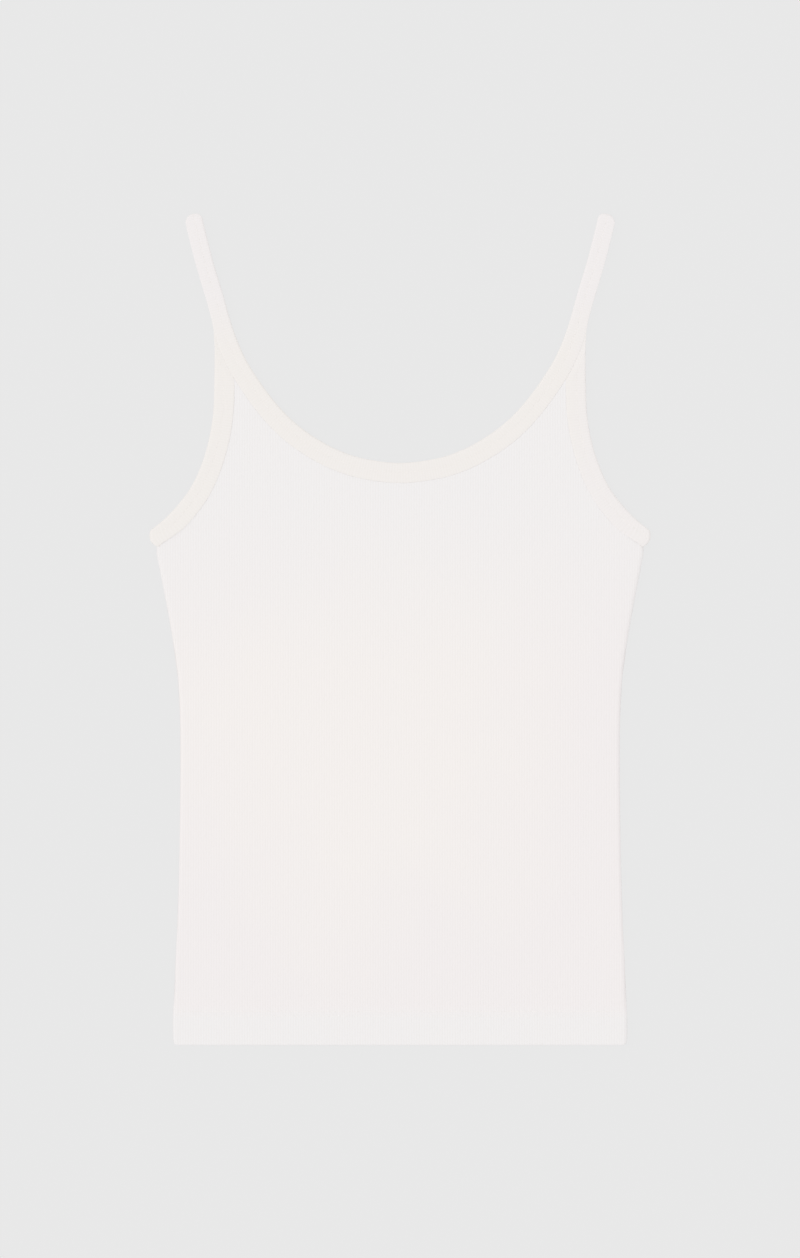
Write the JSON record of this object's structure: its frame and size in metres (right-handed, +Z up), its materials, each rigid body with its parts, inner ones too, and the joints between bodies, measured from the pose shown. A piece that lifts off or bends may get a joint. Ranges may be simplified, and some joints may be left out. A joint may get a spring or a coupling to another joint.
{
  "type": "tank top",
  "caption": "Rib-knit tank top with narrow straps and a deep scoop neck, bound edges and a turned-up hem, laid flat on its back panel.",
  "frame": {"origin": "on the surface that the garment lies on, in the middle of its width and of its length from the hem edge to the fold of the straps", "axes": "+X to the wearer's left side, +Y from the hem to the straps, +Z up, out of the front panel"},
  "size_m": [0.3604, 0.5988, 0.0047],
  "materials": {
    "rib_knit": "matte",
    "binding": "matte"
  },
  "bodies": {
    "root": {"front_panel": "rib_knit", "back_panel": "rib_knit", "neck_binding_and_straps": "binding", "armhole_binding_left": "binding", "armhole_binding_right": "binding"}
  },
  "joints": []
}
